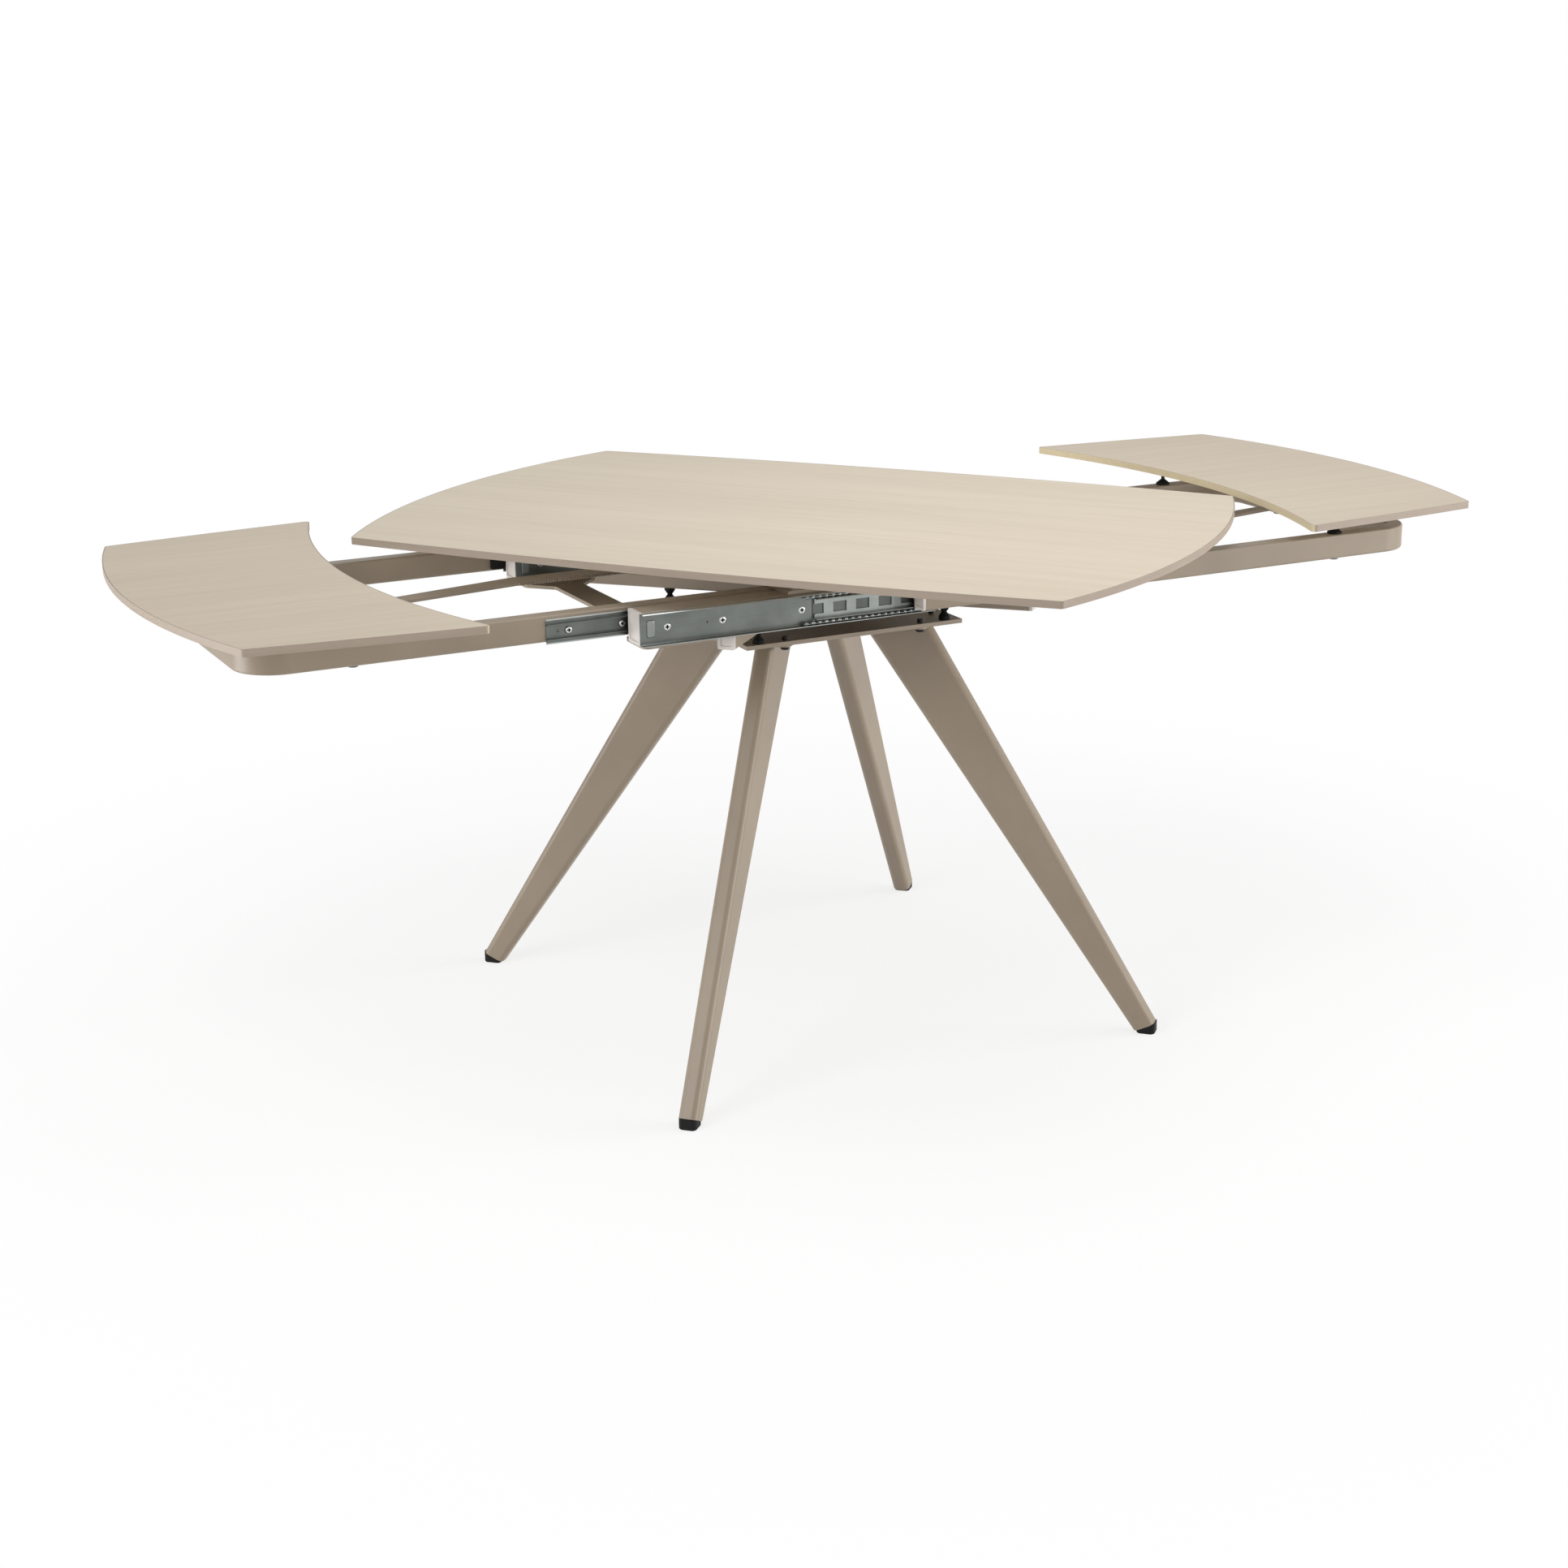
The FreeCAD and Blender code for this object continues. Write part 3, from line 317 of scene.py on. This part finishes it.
def painted(name, colour, roughness, sheen=0.5):
    """Powder coat: fine orange peel, slight cloudiness of colour and gloss."""
    material, shader, add, plug = start_material(name)
    place = object_place(add)
    cloud = noise(add, place, detail=3.0, scale=paint_cloud_scale)
    peel = noise(add, place, detail=2.0, scale=peel_scale)
    plug(two_tone(add, cloud, shaded(colour, 0.94), shaded(colour, 1.05)), "Base Color")
    plug(spread(add, peel, roughness - 0.05, roughness + 0.07), "Roughness")
    plug(bump(add, peel, strength=0.1), "Normal")
    shader.inputs["Specular IOR Level"].default_value = sheen
    return material


def painted_light_rim_mask(add, node, depth):
    """Mask of painted light: 1 within depth of the top and the bottom of a node, 0 between."""
    low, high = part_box(node)
    parts = add("ShaderNodeSeparateXYZ", {"Vector": object_place(add)})
    level = add("ShaderNodeMath", {0: parts.outputs["Z"]}, operation="SUBTRACT")
    level.inputs[1].default_value = (low.z + high.z) / 2
    away = add("ShaderNodeMath", {0: level.outputs[0]}, operation="ABSOLUTE")
    beyond = add("ShaderNodeMath", {0: away.outputs[0]}, operation="GREATER_THAN")
    beyond.inputs[1].default_value = (high.z - low.z) / 2 - depth
    return beyond.outputs[0]


def plated(name, colour, roughness, rim=None):
    """Plated sheet steel: fine rolling lines, blotchy tone, edges rounded to catch the light.

    A rim is painted light: a node, the depth of its rims and their colour, which replaces the
    sheet's tone along the node's top and bottom.
    """
    material, shader, add, plug = start_material(name)
    lines = noise(add, stretched_place(add, rolling_stretch), detail=3.0)
    blotch = noise(add, object_place(add), detail=4.0, scale=blotch_scale)
    tone = two_tone(add, blotch, shaded(colour, 0.86), shaded(colour, 1.1), blotch_stops)
    if rim:
        node, depth, rim_colour = rim
        # painted light: the rim colour along the node's top and bottom
        tone = mix(add, painted_light_rim_mask(add, node, depth), tone, rim_colour)
    tone = mix(add, 1.0, tone, two_tone(add, lines, rolling_shade, white), "MULTIPLY")
    plug(tone, "Base Color")
    plug(spread(add, lines, roughness - 0.06, roughness + 0.1), "Roughness")
    soft_edge = add("ShaderNodeBevel", in_Radius=sheet_edge_radius, samples=sheet_edge_samples)
    relief = add("ShaderNodeBump", {"Height": lines, "Normal": soft_edge.outputs["Normal"]},
                 in_Strength=0.05, in_Distance=0.0002)
    plug(relief.outputs["Normal"], "Normal")
    shader.inputs["Metallic"].default_value = 1.0
    return material


def moulded(name, colour, roughness, speckle=420.0, sheen=0.5):
    """Moulded plastic: fine spark-eroded texture with slight tone change."""
    material, shader, add, plug = start_material(name)
    place = object_place(add)
    texture = noise(add, place, detail=3.0, scale=speckle)
    cloud = noise(add, place, detail=2.0, scale=plastic_cloud_scale)
    plug(two_tone(add, cloud, shaded(colour, 0.9), shaded(colour, 1.08)), "Base Color")
    plug(spread(add, texture, roughness - 0.06, roughness + 0.08), "Roughness")
    plug(bump(add, texture, strength=0.12), "Normal")
    shader.inputs["Specular IOR Level"].default_value = sheen
    return material


# Painted highlight along the top and bottom lips of the channels and runners
channel_highlight_rims = ("slide_channels_left", lip_highlight_depth, painted_highlight_grey)
runner_highlight_rims = ("slide_runners_left", lip_highlight_depth, painted_highlight_grey)
# Cages: painted light on the bands along the ball rows, about a middle band in painted shade
cage_light_rims = ("slide_outer_cages_left", cage_light_rim_depth, painted_light_cage_grey)
finishes = {
    "table_laminate": laminate("top_laminate", -top_angle, pale_wood, dark_wood),
    # the leaves: the top's laminate with painted shade
    "leaf_laminate_painted_shade": laminate("leaf_laminate_painted_shade", 0.0, shaded_pale_leaf, shaded_dark_leaf),
    "edge_strip": edge_strip("edge_strip"),
    "left_leaf_edge": edge_strip("left_leaf_edge", 1.0),
    "right_leaf_edge": edge_strip("right_leaf_edge", -1.0),
    "hub_board": moulded("hub_board", hub_brown, 0.7, speckle=hub_speckle),
    "taupe_paint": painted("taupe_paint", taupe, 0.42),
    "zinc_plate": plated("zinc_plate", zinc, 0.34),
    "channel_zinc_painted_highlight": plated("channel_zinc_painted_highlight", zinc, 0.34, channel_highlight_rims),
    "runner_zinc_painted_highlight": plated("runner_zinc_painted_highlight", zinc, 0.34, runner_highlight_rims),
    "cage_zinc_painted_light_and_shade": plated("cage_zinc_painted_light_and_shade", painted_shade_zinc, 0.4, cage_light_rims),
    "middle_zinc": plated("middle_zinc", pale_zinc, 0.34),
    "bright_steel": plated("bright_steel", steel, 0.24),
    "ball_steel": plated("ball_steel", ball_grey, 0.28),
    "stop_pad": plated("stop_pad", pad_zinc, 0.4),
    "black_steel": painted("black_steel", oxide_black, 0.5, sheen=0.16),
    "black_plastic": moulded("black_plastic", plastic_black, 0.55, sheen=0.12),
    "white_plastic": moulded("white_plastic", milky_white, 0.42),
    # painted shade in the screw heads' cross recesses
    "painted_shade_recess": plated("painted_shade_recess", recess_painted_shade_grey, 0.6),
}

# Nodes whose finish isn't the one of their slot
own_finish = {}
for side in sides:
    # leaves take the laminate with painted shade
    own_finish["leaf_" + side] = "leaf_laminate_painted_shade"
    own_finish["leaf_edge_" + side] = side + "_leaf_edge"
    own_finish["slide_channels_" + side] = "channel_zinc_painted_highlight"
    own_finish["slide_middles_" + side] = "middle_zinc"
    own_finish["slide_runners_" + side] = "runner_zinc_painted_highlight"
    own_finish["slide_outer_cages_" + side] = "cage_zinc_painted_light_and_shade"


def dress(obj, finish_name):
    obj.data.materials.clear()
    obj.data.materials.append(finishes[finish_name])


for entry in frame["record"]["subparts"]:
    name = entry["node"]
    dress(nodes[name], own_finish.get(name, entry["material_slot"]))


# Detail pieces


def new_piece(name, mesh, body, finish_name):
    piece = bpy.data.objects.new(name, mesh)
    bpy.context.scene.collection.objects.link(piece)
    dress(piece, finish_name)
    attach(piece, body)


def solid_boxes(node, reach):
    """Boxes of a node's separate solids, whose points lie within reach of one another."""
    groups = []
    for vertex in nodes[node].data.vertices:
        for group in groups:
            if (group[0] - vertex.co).length < reach:
                group.append(vertex.co)
                break
        else:
            groups.append([vertex.co])
    boxes = []
    for group in groups:
        low = Vector([min(p[i] for p in group) for i in range(3)])
        high = Vector([max(p[i] for p in group) for i in range(3)])
        boxes.append((low, high))
    return boxes


def cross_reach(angle):
    """How far the cross recess reaches from the middle in a direction."""
    c = max(abs(math.cos(angle)), least_slope)
    s = max(abs(math.sin(angle)), least_slope)
    along = min(cross_arm / c, cross_half_width / s)
    upright = min(cross_arm / s, cross_half_width / c)
    return max(along, upright)


def screw_head(mesh, place, way, rise):
    """Pan head with a cross recess, closed underneath, on a seat whose outward direction is way."""
    across = up.cross(way)
    turns = [2 * math.pi * k / screw_spokes for k in range(screw_spokes)]

    def ring(radii, height):
        spokes = [across * math.cos(t) + up * math.sin(t) for t in turns]
        return [mesh.verts.new(place + way * height + spoke * r) for spoke, r in zip(spokes, radii)]

    rows = [ring([screw_head_radius * r] * screw_spokes, rise * h)
            for r, h in screw_head_profile]
    lip = [cross_reach(t) for t in turns]
    rows.append(ring(lip, rise))
    rows.append(ring([r * cross_taper for r in lip], rise - cross_depth))
    mesh.faces.new(list(reversed(rows[0])))
    # the cross recess's floor and walls take slot 1, the painted shade
    mesh.faces.new(rows[-1]).material_index = 1
    for number, (first, second) in enumerate(zip(rows, rows[1:])):
        for k in range(screw_spokes):
            after = (k + 1) % screw_spokes
            face = mesh.faces.new((first[k], first[after], second[after], second[k]))
            face.material_index = int(number == len(rows) - 2)
            face.smooth = number < len(screw_head_profile) - 1


def make_screw_heads(name, node, body, faces_inward, rise):
    """Pan heads over the model's flat screw heads."""
    mesh = bmesh.new()
    for low, high in solid_boxes(node, screw_reach):
        centre = (low + high) / 2
        near_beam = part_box("beam_front" if centre.y < 0 else "beam_rear")
        outside = centre.y < (near_beam[0].y + near_beam[1].y) / 2
        way = Vector((0, 1 if outside == faces_inward else -1, 0))
        seat = low.y if way.y < 0 else high.y
        screw_head(mesh, Vector((centre.x, seat, centre.z)), way, rise)
    data = bpy.data.meshes.new(name)
    mesh.to_mesh(data)
    mesh.free()
    new_piece(name, data, body, "bright_steel")
    data.materials.append(finishes["painted_shade_recess"])


make_screw_heads("channel_screw_heads", "channel_screws", "base", False, channel_head_rise)
for side in sides:
    make_screw_heads("runner_screw_heads_" + side, "runner_screws_" + side, side + "_leaf", True,
                     runner_head_rise)


def ball_points(place, radius):
    """Points and faces of a closed ball, made from rings between two poles."""
    points = [place - Vector((0, 0, radius))]
    for ring in range(1, ball_rings):
        tilt = math.pi * ring / ball_rings
        for k in range(ball_sides):
            turn = 2 * math.pi * k / ball_sides
            out = Vector((math.sin(tilt) * math.cos(turn), math.sin(tilt) * math.sin(turn),
                          -math.cos(tilt)))
            points.append(place + radius * out)
    points.append(place + Vector((0, 0, radius)))
    faces = []
    last = len(points) - 1
    for k in range(ball_sides):
        after = (k + 1) % ball_sides
        faces.append((0, 1 + after, 1 + k))
        for ring in range(ball_rings - 2):
            low = 1 + ring * ball_sides
            high = low + ball_sides
            faces.append((low + k, low + after, high + after, high + k))
        top = last - ball_sides
        faces.append((top + k, top + after, last))
    return points, faces


def make_ball_rows(kind, side):
    """The balls between the cage's first and last ones, which the model has."""
    low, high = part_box("slide_{}_cages_{}".format(kind, side))
    radius = ball_radii[kind]
    span = high.x - low.x - 2 * cage_end
    gaps = round(span / ball_pitch)
    points = []
    faces = []
    for beam in beams:
        beam_low, beam_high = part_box(beam)
        y = beam_low.y - ball_depth if side == "right" else beam_high.y + ball_depth
        for k in range(1, gaps):
            x = low.x + cage_end + span * k / gaps
            for z in (low.z + radius, high.z - radius):
                more, rows = ball_points(Vector((x, y, z)), radius)
                faces += [tuple(i + len(points) for i in row) for row in rows]
                points += more
    name = "balls_{}_{}".format(kind, side)
    data = bpy.data.meshes.new(name)
    data.from_pydata(points, [], faces)
    data.polygons.foreach_set("use_smooth", [True] * len(data.polygons))
    new_piece(name, data, "{}_{}_cages".format(side, kind), "ball_steel")


for side in sides:
    for kind in ball_radii:
        make_ball_rows(kind, side)


def pad_outline():
    """Corner-rounded rectangle about the middle, as pairs of length and height."""
    points = []
    for k, (a, b) in enumerate(((1, 1), (-1, 1), (-1, -1), (1, -1))):
        for step in range(pad_corner_steps + 1):
            turn = math.pi / 2 * (k + step / pad_corner_steps)
            points.append((a * (pad_length / 2 - pad_corner) + pad_corner * math.cos(turn),
                           b * (pad_height / 2 - pad_corner) + pad_corner * math.sin(turn)))
    return points


def stop_pad(mesh, place, way):
    """Pressed pad with a rounded rim, closed underneath, on a seat that faces way."""
    across = up.cross(way)
    outline = pad_outline()
    rows = []
    for scale, height in pad_profile:
        seat = place + way * pad_rise * height
        rows.append([mesh.verts.new(seat + across * a * scale + up * b * scale)
                     for a, b in outline])
    mesh.faces.new(list(reversed(rows[0])))
    mesh.faces.new(rows[-1])
    count = len(outline)
    for first, second in zip(rows, rows[1:]):
        for k in range(count):
            after = (k + 1) % count
            mesh.faces.new((first[k], first[after], second[after], second[k])).smooth = True


def make_stop_pads():
    mesh = bmesh.new()
    for beam in beams:
        beam_low, beam_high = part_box(beam)
        middle = (beam_low.z + beam_high.z) / 2
        right_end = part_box("slide_channels_right")[0].x + pad_inset
        left_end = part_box("slide_channels_left")[1].x - pad_inset
        stop_pad(mesh, Vector((right_end, beam_low.y - pad_base, middle)), Vector((0, -1, 0)))
        stop_pad(mesh, Vector((left_end, beam_high.y + pad_base, middle)), Vector((0, 1, 0)))
    data = bpy.data.meshes.new("stop_pads")
    mesh.to_mesh(data)
    mesh.free()
    new_piece("stop_pads", data, "base", "stop_pad")


make_stop_pads()


# Stage, light and camera


def white_to_eye(tree):
    """Factor that is 1 for what the eye, a mirror or glass sees, and 0 for the light itself."""
    path = tree.nodes.new("ShaderNodeLightPath")
    seen = path.outputs["Is Camera Ray"]
    for name in ("Is Glossy Ray", "Is Transmission Ray"):
        more = tree.nodes.new("ShaderNodeMath")
        more.operation = "MAXIMUM"
        tree.links.new(seen, more.inputs[0])
        tree.links.new(path.outputs[name], more.inputs[1])
        seen = more.outputs[0]
    return seen


def make_floor():
    """White floor that keeps a faint part of the shadow in a pool about the table."""
    data = bpy.data.meshes.new("floor")
    half = floor_half
    data.from_pydata([(-half, -half, 0), (half, -half, 0), (half, half, 0), (-half, half, 0)], [],
                     [(0, 1, 2, 3)])
    floor = bpy.data.objects.new("floor", data)
    bpy.context.scene.collection.objects.link(floor)
    material, shader, add, plug = start_material("pale_floor")
    tree = material.node_tree
    cloud = noise(add, object_place(add), detail=2.0, scale=floor_cloud_scale)
    pale = two_tone(add, cloud, floor_low, floor_high)
    plug(mix(add, white_to_eye(tree), floor_bounce, pale), "Base Color")
    shader.inputs["Roughness"].default_value = floor_roughness
    shader.inputs["Specular IOR Level"].default_value = floor_sheen
    reach = add("ShaderNodeVectorMath", {0: object_place(add)}, operation="LENGTH")
    share = add("ShaderNodeMapRange", {"Value": reach.outputs["Value"]}, in_From_Min=pool_inner,
                in_From_Max=pool_outer, in_To_Min=pool_white_share, in_To_Max=1.0,
                interpolation_type="SMOOTHSTEP")
    part = add("ShaderNodeMath", {0: white_to_eye(tree), 1: share.outputs["Result"]},
               operation="MULTIPLY")
    glow = add("ShaderNodeEmission")
    both = add("ShaderNodeMixShader",
               {0: part.outputs[0], 1: shader.outputs[0], 2: glow.outputs[0]})
    tree.links.new(both.outputs[0], tree.nodes["Material Output"].inputs["Surface"])
    floor.data.materials.append(material)


def make_soft_box(name, place, target, size, power):
    soft = bpy.data.objects.new(name, bpy.data.lights.new(name, "AREA"))
    soft.data.energy = power
    soft.data.shape = "RECTANGLE"
    soft.data.size, soft.data.size_y = size
    soft.location = place
    soft.rotation_mode = "QUATERNION"
    soft.rotation_quaternion = (target - place).to_track_quat("-Z", "Y")
    soft.visible_glossy = name not in unmirrored_boxes
    bpy.context.scene.collection.objects.link(soft)


def make_light():
    """Soft boxes and an even sky, which the eye and mirrors see as white."""
    world = bpy.data.worlds.new("studio")
    world.use_nodes = True
    tree = world.node_tree
    sky = tree.nodes["Background"]
    sky.inputs["Color"].default_value = (*white, 1)
    sky.inputs["Strength"].default_value = world_strength
    backdrop = tree.nodes.new("ShaderNodeBackground")
    backdrop.inputs["Color"].default_value = (*white, 1)
    both = tree.nodes.new("ShaderNodeMixShader")
    tree.links.new(white_to_eye(tree), both.inputs[0])
    tree.links.new(sky.outputs[0], both.inputs[1])
    tree.links.new(backdrop.outputs[0], both.inputs[2])
    tree.links.new(both.outputs[0], tree.nodes["World Output"].inputs["Surface"])
    bpy.context.scene.world = world
    for name, box in soft_boxes.items():
        make_soft_box(name, *box)


def make_camera():
    forward = Vector((math.sin(camera_heading) * math.cos(camera_pitch),
                      math.cos(camera_heading) * math.cos(camera_pitch),
                      -math.sin(camera_pitch)))
    right = forward.cross(up).normalized()
    down = forward.cross(right)
    c = math.cos(camera_roll)
    s = math.sin(camera_roll)
    right, down = right * c + down * s, down * c - right * s
    camera = bpy.data.objects.new("camera", bpy.data.cameras.new("camera"))
    camera.data.sensor_width = sensor_width
    camera.data.lens = focal_pixels / image_size * sensor_width
    camera.data.clip_end = view_depth
    axes = Matrix((right, -down, -forward)).transposed()
    camera.matrix_world = Matrix.Translation(camera_place) @ axes.to_4x4()
    bpy.context.scene.collection.objects.link(camera)
    bpy.context.scene.camera = camera


make_floor()
make_light()
make_camera()
bpy.context.scene.view_settings.view_transform = "Standard"
